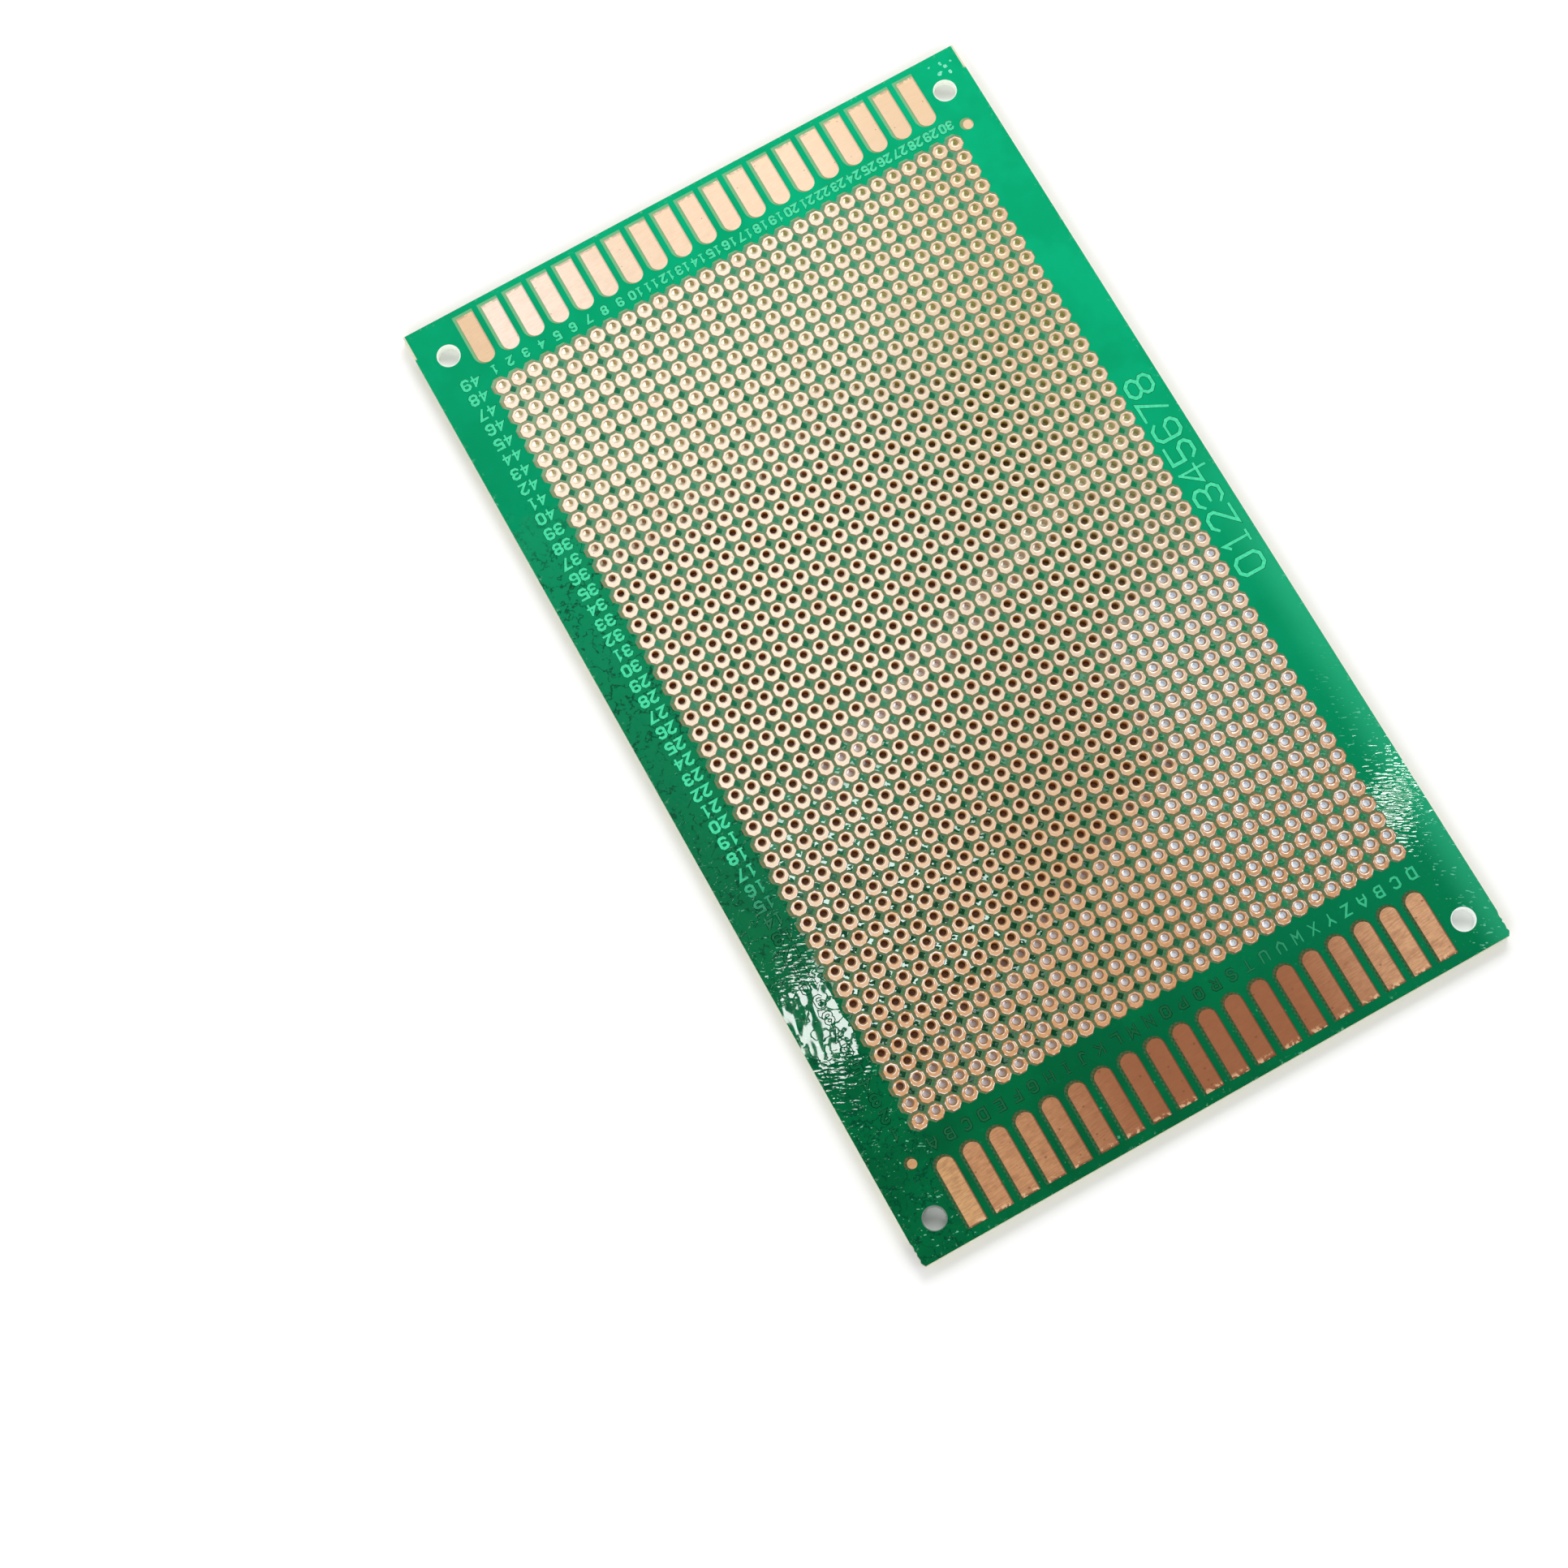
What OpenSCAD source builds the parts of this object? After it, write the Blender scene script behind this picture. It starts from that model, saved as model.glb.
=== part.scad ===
// Single-sided prototype circuit board: a drilled glass-epoxy sheet with loose copper pads,
// a row of edge fingers at each short end, and a green coat with an opening over each land.
// Copper side up, origin at the middle of the underside, +Y towards the short-fingered end.

/* [Board] */
// Width of the sheet, along X
board_w = 90; // [88:0.5:100]
// Length of the sheet, along Y
board_l = 150; // [149:0.5:165]
// Thickness of the bare sheet
board_t = 1.6; // [0.8:0.1:3.2]

/* [Corner holes] */
// Diameter of the four corner holes
mount_hole_d = 3.2; // [2.4:0.1:3.6]
// From each long edge to the corner holes' centres
mount_inset_side = 4.45; // [3.9:0.05:4.8]
// From the upper short edge to the corner holes' centres
mount_inset_top = 5.7; // [3.5:0.05:8]
// From the lower short edge to the corner holes' centres
mount_inset_bottom = 4.87; // [3.5:0.05:8]

/* [Pads] */
// Spacing of the pads both ways
pad_pitch = 2.54; // [2.5:0.01:2.56]
// Width of a pad across its flats
pad_w = 2.17; // [2:0.01:2.25]
// Diameter of the drilled lead holes
lead_hole_d = 1; // [1:0.05:1.1]
// How far the drilling sits above the pads' centres
drill_shift = 0.29; // [0:0.01:0.35]
// From the left edge to the first column of pads
pad_margin_left = 9.07; // [8.5:0.01:9.4]
// From the upper edge to the first row of pads
pad_margin_top = 13.72; // [13:0.01:14.5]

/* [Edge fingers] */
// Spacing of the fingers
finger_pitch = 4; // [3.9:0.01:4.05]
// Width of a finger
finger_w = 2.68; // [2.3:0.02:2.8]
// Length of the upper fingers
top_finger_l = 8; // [6:0.1:8.4]
// Length of the lower fingers
bottom_finger_l = 9.84; // [7:0.02:10.2]
// From the upper edge to the fingers' square ends
top_finger_margin = 1.36; // [1:0.02:1.8]
// From the lower edge to the fingers' square ends
bottom_finger_margin = 1.45; // [1:0.05:2]
// How far both rows of fingers sit to the right of the board's middle
finger_shift = 0.2; // [-0.4:0.05:0.6]

/* [Layers] */
// Thickness of the copper
copper_t = 0.035; // [0.018:0.001:0.07]
// Thickness of the green coat
mask_t = 0.025; // [0.015:0.001:0.05]
// How much wider than a pad its opening is, on each side
pad_clearance = 0.3; // [0.25:0.01:0.33]
// How much wider than a finger its opening is, on each side
finger_clearance = 0.25; // [0.22:0.01:0.35]
// How far the coat has slipped to the left
mask_slip_left = 0.2; // [0:0.01:0.21]
// How far the coat has slipped upward
mask_slip_up = 0.21; // [0:0.01:0.21]

/* [Registration dots] */
// Diameter of the upper dot
upper_dot_d = 1.5; // [1:0.05:2]
// Diameter of the lower dot
lower_dot_d = 1.35; // [1:0.05:2]

/* [Wear] */
// Length of the bare or torn stretch at each end of a long edge
snap_l = 3.8; // [2:0.1:5]
// Width of the bare strip at the upper corners
snap_w = 0.28; // [0.1:0.01:0.4]
// Deepest bite of the torn stretch at the lower corners
tear_depth = 0.2; // [0.1:0.01:0.35]

/* [Hidden] */
pad_cols = 30;
pad_rows = 48;
finger_count = 19;
// a regular octagon's half side for a half width of 1
octagon_slope = tan(22.5);
// places are rounded to a thousandth of a millimetre
grain = 0.001;
round_sides = 48;
// extra reach of a cutting shape past the face that it cuts
cut = 0.2;
// opening across its flats; wide enough for side-by-side openings to merge
least_merge = 0.1;
opening_w = max(pad_w + 2 * pad_clearance, pad_pitch + least_merge);
first_col_x = -board_w / 2 + pad_margin_left;
first_row_y = board_l / 2 - pad_margin_top;
last_col_x = first_col_x + (pad_cols - 1) * pad_pitch;
last_row_y = first_row_y - (pad_rows - 1) * pad_pitch;
mount_x = board_w / 2 - mount_inset_side;
mount_top_y = board_l / 2 - mount_inset_top;
mount_bottom_y = -board_l / 2 + mount_inset_bottom;
// bare ring round each corner hole
mount_ring = 0.12;
// the dots' places from the nearest edges, and their bare rings
upper_dot_x = board_w / 2 - 4.17;
upper_dot_y = board_l / 2 - 11.98;
lower_dot_x = -board_w / 2 + 5.4;
lower_dot_y = -board_l / 2 + 12.5;
dot_ring = 0.2;
top_finger_y = board_l / 2 - top_finger_margin - top_finger_l;
bottom_finger_y = -board_l / 2 + bottom_finger_margin + bottom_finger_l;
// the torn stretch is a chain of small bites
tear_bites = 11;
tear_step = snap_l / tear_bites;
// the golden angle keeps the bites from repeating
bite_turn = 137.5;

function col_x(col) = first_col_x + (col - 1) * pad_pitch;
function row_y(row) = first_row_y - (row - 1) * pad_pitch;
function row_name(row) = str("pad_row_", row < 10 ? "0" : "", row);
function finger_x(k) = finger_shift + (k - (finger_count - 1) / 2) * finger_pitch;
function bite(k) = tear_depth * (0.55 + 0.45 * sin(bite_turn * k));
function grained(v) = round(v / grain) * grain;

// A regular octagon with its flats facing along the board's edges
module octagon(across) {
    flat = grained(across / 2);
    side = grained(across / 2 * octagon_slope);
    polygon([
        [flat, side], [side, flat], [-side, flat], [-flat, side],
        [-flat, -side], [-side, -flat], [side, -flat], [flat, -side]
    ]);
}

module disc(d) {
    circle(d = d, $fn = round_sides);
}

// A finger with its round end's tip at the origin and its square end up
module finger(w, l) {
    translate([0, w / 2])
        disc(w);
    translate([-w / 2, w / 2])
        square([w, l - w / 2]);
}

module top_finger_row(grow) {
    for (k = [0 : finger_count - 1])
        translate([finger_x(k), top_finger_y - grow])
            finger(finger_w + 2 * grow, top_finger_l + 2 * grow);
}

module bottom_finger_row(grow) {
    for (k = [0 : finger_count - 1])
        translate([finger_x(k), bottom_finger_y + grow])
            mirror([0, 1])
                finger(finger_w + 2 * grow, bottom_finger_l + 2 * grow);
}

module at_mount_holes() {
    for (side = [-1, 1])
        for (y = [mount_top_y, mount_bottom_y])
            translate([side * mount_x, y])
                children();
}

module board_outline() {
    square([board_w, board_l], center = true);
}

// The ragged bites at the lower end of each long edge, where the board was snapped off
module torn_corners() {
    for (side = [-1, 1])
        translate([side * board_w / 2, -board_l / 2])
            polygon(concat(
                [[side * cut, snap_l], [side * cut, -cut]],
                [[-side * 2 * tear_depth, -cut], [-side * 2 * tear_depth, 0]],
                [for (k = [1 : tear_bites - 1]) [-side * bite(k), k * tear_step]],
                [[0, snap_l]]
            ));
}

// The bare strips at the upper end of each long edge
module snapped_strips() {
    for (side = [-1, 1])
        translate([side * board_w / 2, board_l / 2 - snap_l / 2])
            square([2 * snap_w, snap_l + 2 * cut], center = true);
}

// One opening for the whole field of pads: side by side they merge, so its rim is scalloped
module pad_field_opening() {
    translate([first_col_x, last_row_y])
        square([last_col_x - first_col_x, first_row_y - last_row_y]);
    for (col = [1 : pad_cols])
        for (row = [1, pad_rows])
            translate([col_x(col), row_y(row)])
                octagon(opening_w);
    for (col = [1, pad_cols])
        for (row = [2 : pad_rows - 1])
            translate([col_x(col), row_y(row)])
                octagon(opening_w);
}

// The outlines of the fingers and the dots, widened on each side
module fingers_and_dots(finger_grow, dot_grow) {
    top_finger_row(finger_grow);
    bottom_finger_row(finger_grow);
    translate([upper_dot_x, upper_dot_y])
        disc(upper_dot_d + 2 * dot_grow);
    translate([lower_dot_x, lower_dot_y])
        disc(lower_dot_d + 2 * dot_grow);
}

module mask_openings() {
    pad_field_opening();
    fingers_and_dots(finger_clearance, dot_ring);
}

module laminate() {
    color([0.72, 0.74, 0.58])
        linear_extrude(board_t)
            difference() {
                board_outline();
                at_mount_holes()
                    disc(mount_hole_d);
                for (col = [1 : pad_cols])
                    for (row = [1 : pad_rows])
                        translate([col_x(col), row_y(row) + drill_shift])
                            disc(lead_hole_d);
                torn_corners();
            }
}

module solder_mask() {
    color([0.03, 0.48, 0.28])
        translate([0, 0, board_t])
            linear_extrude(mask_t)
                difference() {
                    board_outline();
                    translate([-mask_slip_left, mask_slip_up])
                        mask_openings();
                    // where it has slipped onto copper, the coat stops at the copper's edge
                    fingers_and_dots(0, 0);
                    at_mount_holes()
                        disc(mount_hole_d + 2 * mount_ring);
                    snapped_strips();
                    torn_corners();
                }
}

module pad_row(row) {
    color([0.87, 0.68, 0.5])
        translate([0, 0, board_t])
            linear_extrude(copper_t)
                for (col = [1 : pad_cols])
                    translate([col_x(col), row_y(row)])
                        difference() {
                            octagon(pad_w);
                            translate([0, drill_shift])
                                disc(lead_hole_d);
                        }
}

module top_fingers() {
    color([0.93, 0.82, 0.66])
        translate([0, 0, board_t])
            linear_extrude(copper_t)
                top_finger_row(0);
}

module bottom_fingers() {
    color([0.68, 0.43, 0.27])
        translate([0, 0, board_t])
            linear_extrude(copper_t)
                bottom_finger_row(0);
}

module upper_dot() {
    color([0.93, 0.78, 0.6])
        translate([upper_dot_x, upper_dot_y, board_t])
            linear_extrude(copper_t)
                disc(upper_dot_d);
}

module lower_dot() {
    color([0.75, 0.5, 0.33])
        translate([lower_dot_x, lower_dot_y, board_t])
            linear_extrude(copper_t)
                disc(lower_dot_d);
}

laminate();
solder_mask();
top_fingers();
bottom_fingers();
upper_dot();
lower_dot();
for (row = [1 : pad_rows])
    pad_row(row);
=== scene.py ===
"""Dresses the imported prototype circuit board: finishes for the sheet, the coat and the copper,
the coat's islands between the pads, the raised index marks, and the wear that the board has."""

import math

import bpy
from mathutils import Matrix, Vector


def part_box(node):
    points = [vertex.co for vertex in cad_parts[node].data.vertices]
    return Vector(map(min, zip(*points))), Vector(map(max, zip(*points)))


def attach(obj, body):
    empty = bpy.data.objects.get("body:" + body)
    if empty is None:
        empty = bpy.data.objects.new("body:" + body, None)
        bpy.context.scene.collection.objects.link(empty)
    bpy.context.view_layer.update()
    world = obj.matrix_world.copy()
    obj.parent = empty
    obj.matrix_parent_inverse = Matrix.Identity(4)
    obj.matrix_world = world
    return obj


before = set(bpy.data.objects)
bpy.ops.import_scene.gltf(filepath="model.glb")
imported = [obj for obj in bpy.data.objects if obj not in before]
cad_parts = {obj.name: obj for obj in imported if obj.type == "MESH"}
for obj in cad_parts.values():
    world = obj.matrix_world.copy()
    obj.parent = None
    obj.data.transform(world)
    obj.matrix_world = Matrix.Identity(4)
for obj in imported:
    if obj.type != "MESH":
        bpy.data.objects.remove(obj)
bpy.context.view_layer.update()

MM = 0.001
ROOT = "root"

# Sizes read from the frame, in metres
sheet_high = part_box("laminate")[1]
coat_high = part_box("solder_mask")[1]
first_row_low, first_row_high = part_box("pad_row_01")
last_row_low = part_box("pad_row_48")[0]
pad_rows = 48
pad_cols = 30
pad_w = first_row_high.y - first_row_low.y
pitch = (first_row_low.y - last_row_low.y) / (pad_rows - 1)
first_col_x = first_row_low.x + pad_w / 2
first_row_y = first_row_low.y + pad_w / 2
last_row_y = last_row_low.y + pad_w / 2
sheet_top = sheet_high.z
coat_top = coat_high.z
copper_top = first_row_high.z
coat_t = coat_top - sheet_top

# Sizes that repeat the part's own source, in metres
opening_w = 2.77 * MM
slip_left = 0.2 * MM
slip_up = 0.21 * MM

# The finishes work in millimetres
half_board_w = sheet_high.x / MM
half_board_l = sheet_high.y / MM
sheet_z = sheet_top / MM
coat_z = coat_top / MM
half_pad = pad_w / 2 / MM
hole_r = 0.5
drill_shift = 0.29
# the corner holes' distances from the board's middle lines
mount_x = 40.55
mount_top_y = 69.3
mount_bottom_y = 70.13
# the fingers' spacing, place, half width and square ends
finger_pitch = 4.0
finger_shift = 0.2
half_finger = 1.34
finger_end = 73.6
# half the width of the pads' zone, and how far it reaches past the first and last rows' middles
half_field_w = 39.5
field_rim = 1.4

# The lacquer's specular level and roughness, and how strongly the holes' walls glow
LACQUER_SHINE = 0.42
LACQUER_ROUGHNESS = 0.016
WALL_GLOW = 2.5


def linear(r, g, b):
    """An 8-bit screen colour as linear light."""
    def one(v):
        v = v / 255
        return v / 12.92 if v <= 0.04045 else ((v + 0.055) / 1.055) ** 2.4

    return (one(r), one(g), one(b), 1)


class Nodes:
    """Short calls that add nodes to one material's tree. A value is a number, a colour or a socket."""

    def __init__(self, name):
        self.material = bpy.data.materials.new(name)
        self.material.use_nodes = True
        self.tree = self.material.node_tree
        self.tree.nodes.clear()

    def feed(self, socket, value):
        """Links or sets the socket. None leaves it as it is."""
        if isinstance(value, bpy.types.NodeSocket):
            self.tree.links.new(value, socket)
        elif value is not None:
            socket.default_value = value

    def add(self, kind, *values, **settings):
        """A node with these settings, and with these values in its first inputs."""
        node = self.tree.nodes.new(kind)
        for key, value in settings.items():
            setattr(node, key, value)
        for socket, value in zip(node.inputs, values):
            self.feed(socket, value)
        return node

    def math(self, operation, *values):
        return self.add("ShaderNodeMath", *values, operation=operation).outputs[0]

    def times(self, product, *others):
        for other in others:
            product = self.math("MULTIPLY", product, other)
        return product

    def largest(self, top, *others):
        for other in others:
            top = self.math("MAXIMUM", top, other)
        return top

    def minus(self, a, b):
        return self.math("SUBTRACT", a, b)

    def size(self, value):
        """The value without its sign."""
        return self.math("ABSOLUTE", value)

    def scale_sum(self, *pairs):
        """The sum of value times weight over the pairs."""
        total = None
        for value, weight in pairs:
            part = self.times(value, weight)
            total = part if total is None else self.math("ADD", total, part)
        return total

    def length(self, a, b):
        return self.math("SQRT", self.scale_sum((a, a), (b, b)))

    def place(self):
        """The point on the board in millimetres, as a vector and as x, y and z."""
        coords = self.add("ShaderNodeTexCoord").outputs["Object"]
        scaled = self.add("ShaderNodeVectorMath", coords, operation="SCALE")
        scaled.inputs["Scale"].default_value = 1 / MM
        split = self.add("ShaderNodeSeparateXYZ", scaled.outputs[0])
        return (scaled.outputs[0], *split.outputs)

    def join(self, *parts):
        return self.add("ShaderNodeCombineXYZ", *parts).outputs[0]

    def stretch(self, point, sx, sy, sz=1.0, turn=0.0):
        """The point scaled per axis, after a turn in degrees about Z."""
        if turn:
            turned = self.add("ShaderNodeMapping", point, vector_type="POINT")
            turned.inputs["Rotation"].default_value = (0, 0, math.radians(turn))
            point = turned.outputs[0]
        scaled = self.add("ShaderNodeMapping", point, vector_type="POINT")
        scaled.inputs["Scale"].default_value = (sx, sy, sz)
        return scaled.outputs[0]

    def noise(self, point, scale, detail=2.0, rough=0.5):
        node = self.add("ShaderNodeTexNoise", noise_dimensions="3D")
        self.feed(node.inputs["Vector"], point)
        node.inputs["Scale"].default_value = scale
        node.inputs["Detail"].default_value = detail
        node.inputs["Roughness"].default_value = rough
        return node.outputs["Fac"]

    def streaks(self, point, sx, sy, sz=1.0, turn=0.0, detail=2.0, rough=0.5):
        """Noise that varies fastest along the axis with the largest scale."""
        return self.noise(self.stretch(point, sx, sy, sz, turn), 1.0, detail, rough)

    def veins(self, point, scale, detail, rough):
        """Zero on thin wandering lines, and larger away from them."""
        return self.size(self.minus(self.noise(point, scale, detail, rough), 0.5))

    def speckle(self, point, scale):
        """Distance to the nearest of a scatter of points."""
        node = self.add("ShaderNodeTexVoronoi", feature="F1")
        self.feed(node.inputs["Vector"], point)
        node.inputs["Scale"].default_value = scale
        return node.outputs["Distance"]

    def ramp(self, value, start, end, out_start=0.0, out_end=1.0):
        """Goes smoothly from out_start to out_end while value goes up or down from start to end.
        So a ramp over x or y, from 0 to 1, is a zone of the board with a soft edge."""
        numbers = (value, start, end, out_start, out_end)
        return self.add("ShaderNodeMapRange", *numbers, interpolation_type="SMOOTHSTEP").outputs[0]

    def mix(self, share, a, b):
        """Colour a with this share of colour b."""
        node = self.add("ShaderNodeMix", data_type="RGBA", blend_type="MIX")
        self.feed(node.inputs["Factor"], share)
        self.feed(node.inputs["A"], a)
        self.feed(node.inputs["B"], b)
        return node.outputs["Result"]

    def layers(self, color, *coats):
        """The colour under coats of paint, from the lowest up. Each coat is (share, colour)."""
        for share, paint in coats:
            color = self.mix(share, color, paint)
        return color

    def bump(self, height, distance):
        node = self.add("ShaderNodeBump")
        node.inputs["Strength"].default_value = 1.0
        node.inputs["Distance"].default_value = distance
        self.feed(node.inputs["Height"], height)
        return node.outputs[0]

    def finish(self, color, roughness, normal=None, metallic=0.0, specular=0.5, glow=None):
        """Gives the material one surface with these values."""
        shader = self.add("ShaderNodeBsdfPrincipled")
        self.feed(shader.inputs["Base Color"], color)
        self.feed(shader.inputs["Roughness"], roughness)
        self.feed(shader.inputs["Metallic"], metallic)
        self.feed(shader.inputs["Normal"], normal)
        shader.inputs["Specular IOR Level"].default_value = specular
        if glow is not None:
            self.feed(shader.inputs["Emission Color"], glow)
            shader.inputs["Emission Strength"].default_value = WALL_GLOW
        out = self.add("ShaderNodeOutputMaterial")
        self.tree.links.new(shader.outputs[0], out.inputs[0])
        return self.material


def nearest_step(n, value, first):
    """How far a value is past its nearest step of the pads' grid, and which step that is."""
    step = pitch / MM
    steps = n.math("DIVIDE", n.minus(value, first / MM), step)
    whole = n.math("ROUND", steps)
    return n.times(n.minus(steps, whole), step), whole


def pad_cell(n, x, y, shift_x=0.0, shift_y=0.0):
    """Where a point is from the centre of its nearest pad, in millimetres, and which pad that is."""
    u, column = nearest_step(n, x, first_col_x + shift_x)
    v, row = nearest_step(n, y, first_row_y + shift_y)
    return u, v, column, row


def octagon_reach(n, u, v):
    """Half the width of the octagon, with flats along the axes, that passes through u, v."""
    across = n.size(u)
    up = n.size(v)
    corner = n.times(n.math("ADD", across, up), math.sqrt(0.5))
    return n.largest(across, up, corner)


def from_finger_axis(n, x):
    """How far x is from the middle line of its nearest finger."""
    return n.math("PINGPONG", n.minus(x, finger_shift), finger_pitch / 2)


def ripples(n, point, x, y):
    """The lacquer's uneven surface: slow waves on the left edge, short dashes low on both edges."""
    left = n.ramp(x, -35.5, -38.0)
    right = n.ramp(x, 36.0, 38.5)
    low = n.ramp(y, -10.0, -28.0)
    low_left = n.times(left, low)
    # the lacquer lies smooth in a pool beside the lower numbers
    pool_y = -40.0
    pool = n.ramp(n.size(n.minus(y, pool_y)), 7.5, 3.5)
    veins = n.veins(point, 0.45, 2.0, 0.5)
    peel = n.times(n.noise(point, 1.1), n.minus(1.0, low_left))
    waves = n.times(n.streaks(point, 0.62, 0.42, turn=14, detail=0.0), left)
    folds = n.times(n.ramp(veins, 0.0, 0.02), left, n.ramp(y, 46.0, 28.0))
    creases = n.times(n.ramp(veins, 0.0, 0.026), low_left)
    left_dashes = n.times(n.streaks(point, 0.9, 2.6, turn=26, detail=0.0), low_left, n.minus(1.0, pool))
    right_dashes = n.times(n.streaks(point, 1.0, 3.5, turn=30, detail=0.0), right, low)
    heights = (
        (peel, 0.012), (waves, 0.17), (folds, 0.07), (creases, 0.09), (left_dashes, 0.17),
        (right_dashes, 0.13),
    )
    return n.bump(n.scale_sum(*heights), 0.05 * MM)


def coat_finish():
    """Glossy green lacquer, with painted shade deeper towards the lower left and painted light towards the
    upper right.
    """
    n = Nodes("solder_mask_green")
    point, x, y, _ = n.place()
    along = n.ramp(n.scale_sum((x, 0.8), (y, 1.0)), -92.0, 105.0)
    cloud = n.noise(point, 0.12, detail=3.0, rough=0.6)
    fine = n.noise(point, 2.2)
    # painted shade darkens the wrinkles on the left edge, and painted glints lie pale low on both edges
    left = n.ramp(x, -35.0, -36.6)
    wrinkle = n.ramp(n.veins(point, 0.5, 3.0, 0.6), 0.036, 0.012)
    broken = n.ramp(n.noise(point, 0.9), 0.42, 0.54)
    folds = n.times(wrinkle, broken, left, n.ramp(y, 48.0, 30.0))
    left_glints = n.ramp(n.streaks(point, 1.3, 2.6, turn=26, detail=1.0), 0.72, 0.75)
    left_glints = n.times(left_glints, left, n.ramp(y, -4.0, -30.0))
    right_glints = n.ramp(n.streaks(point, 1.2, 4.2, turn=30, detail=1.0), 0.68, 0.71)
    right_glints = n.times(right_glints, n.ramp(x, 39.2, 40.2), n.ramp(y, -24.0, -44.0))
    # painted sheen: a pale reflection painted along the lower right edge
    sheen = n.times(n.ramp(x, 40.0, 44.9), n.ramp(y, 14.0, -22.0))
    # the lacquer is scuffed along the board's edges and speckled at the lower end
    from_edge = n.math("MINIMUM", n.minus(half_board_w, n.size(x)), n.minus(half_board_l, n.size(y)))
    grains = n.noise(point, 1.3, detail=3.0, rough=0.7)
    scuffed = n.times(n.ramp(from_edge, 0.9, 0.1), n.ramp(grains, 0.58, 0.72))
    specks = n.times(n.ramp(y, -62.0, -70.0), n.ramp(grains, 0.66, 0.74))
    # the base goes from deep to bright green along the board: painted shade low at the left, painted light
    # high at the right
    color = n.layers(
        n.mix(along, linear(0, 86, 48), linear(6, 174, 120)),
        (n.ramp(cloud, 0.35, 0.65, 0.0, 0.25), linear(0, 122, 70)),
        (n.ramp(fine, 0.60, 0.80, 0.0, 0.12), linear(20, 164, 108)),
        (n.times(folds, 0.85), linear(0, 66, 42)),
        (n.times(n.largest(left_glints, right_glints), 0.5), linear(140, 222, 190)),
        (n.times(sheen, 0.32), linear(58, 196, 148)),
        (n.times(scuffed, 0.35), linear(150, 214, 184)),
        (n.times(specks, 0.5), linear(110, 190, 150)),
    )
    return n.finish(color, LACQUER_ROUGHNESS, ripples(n, point, x, y), specular=LACQUER_SHINE)


def island_finish():
    """The lacquer's small squares between pads: each is thin and pale on its right side."""
    n = Nodes("coat_islands_green")
    point, x, y, _ = n.place()
    u, v, column, row = pad_cell(n, x, y, pitch / 2 - slip_left, slip_up - pitch / 2)
    thin = n.ramp(n.scale_sum((u, 1.0), (v, 0.25)), 0.12, 0.5)
    shade = n.noise(n.join(column, row, 0.3), 0.9, detail=0.0)
    # paler towards the upper right: painted light, as on the coat
    upper_right = n.ramp(n.scale_sum((x, 0.6), (y, 1.0)), 34.0, 74.0)
    lower_right = n.ramp(n.scale_sum((x, 1.0), (y, -0.6)), -10.0, 30.0)
    # the lower left is painted dark: painted shade, as on the coat
    low = n.ramp(y, -12.0, -34.0)
    shaded = n.times(low, n.ramp(x, 24.0, -6.0))
    # pale specks of reflected light, most of them left of the middle
    specks = n.ramp(n.streaks(point, 1.3, 1.9, turn=26, detail=1.0), 0.56, 0.585)
    to_left = n.ramp(x, -2.0, -16.0, 0.15, 1.0)
    specks = n.times(specks, to_left, n.ramp(y, -4.0, -18.0), n.ramp(y, -51.0, -42.0, 0.1, 1.0))
    color = n.layers(
        n.mix(n.ramp(shade, 0.35, 0.65), linear(26, 102, 70), linear(58, 130, 98)),
        (n.times(upper_right, 0.6), linear(62, 158, 114)),
        (n.times(lower_right, 0.65), linear(4, 120, 70)),
        (n.times(thin, 0.4), linear(120, 176, 136)),
        (n.times(shaded, 0.95), linear(0, 54, 26)),
        (n.times(specks, 0.9), linear(214, 238, 228)),
    )
    rise = n.noise(point, 1.7)
    normal = n.bump(n.scale_sum((rise, 0.2), (n.times(rise, low), 1.2)), 0.05 * MM)
    return n.finish(color, 0.08, normal, specular=LACQUER_SHINE)


def field_color(n, x, y, u, v, along, mottle):
    """Bare sheet between the pads, with painted shade as a brown line along each pad's etched edge."""
    upper_left = n.times(n.ramp(x, -26.0, -35.0), n.ramp(y, 36.0, 54.0))
    from_pad = n.minus(octagon_reach(n, u, v), half_pad)
    return n.layers(
        n.mix(along, linear(62, 106, 70), linear(96, 148, 112)),
        (n.ramp(mottle, 0.3, 0.7, 0.0, 0.5), n.mix(along, linear(40, 98, 64), linear(76, 142, 110))),
        (n.times(upper_left, 0.25), linear(196, 208, 172)),
        (n.ramp(from_pad, 0.17, 0.03, 0.0, 0.8), n.mix(along, linear(134, 106, 68), linear(146, 120, 82))),
    )


def margin_color(n, x, y, along):
    """Bare sheet beside the fingers, with painted shade as a brown line along each finger's etched edge.
    """
    past_side = n.minus(from_finger_axis(n, x), half_finger)
    past_end = n.minus(n.size(y), finger_end)
    beside = n.ramp(n.largest(past_side, past_end), 0.07, 0.02)
    plain = n.mix(along, linear(4, 78, 42), linear(108, 176, 126))
    brown = n.mix(along, linear(84, 58, 32), linear(158, 130, 84))
    return n.mix(n.times(beside, 0.45), plain, brown)


def near_mount_hole(n, x, y):
    """1 at a corner hole's wall, and 0 out of its reach."""
    aside = n.minus(n.size(x), mount_x)
    beyond = n.minus(n.size(y), n.ramp(y, -1.0, 1.0, mount_bottom_y, mount_top_y))
    clear, within_reach = 1.9, 1.75
    return n.ramp(n.length(aside, beyond), clear, within_reach)


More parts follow.
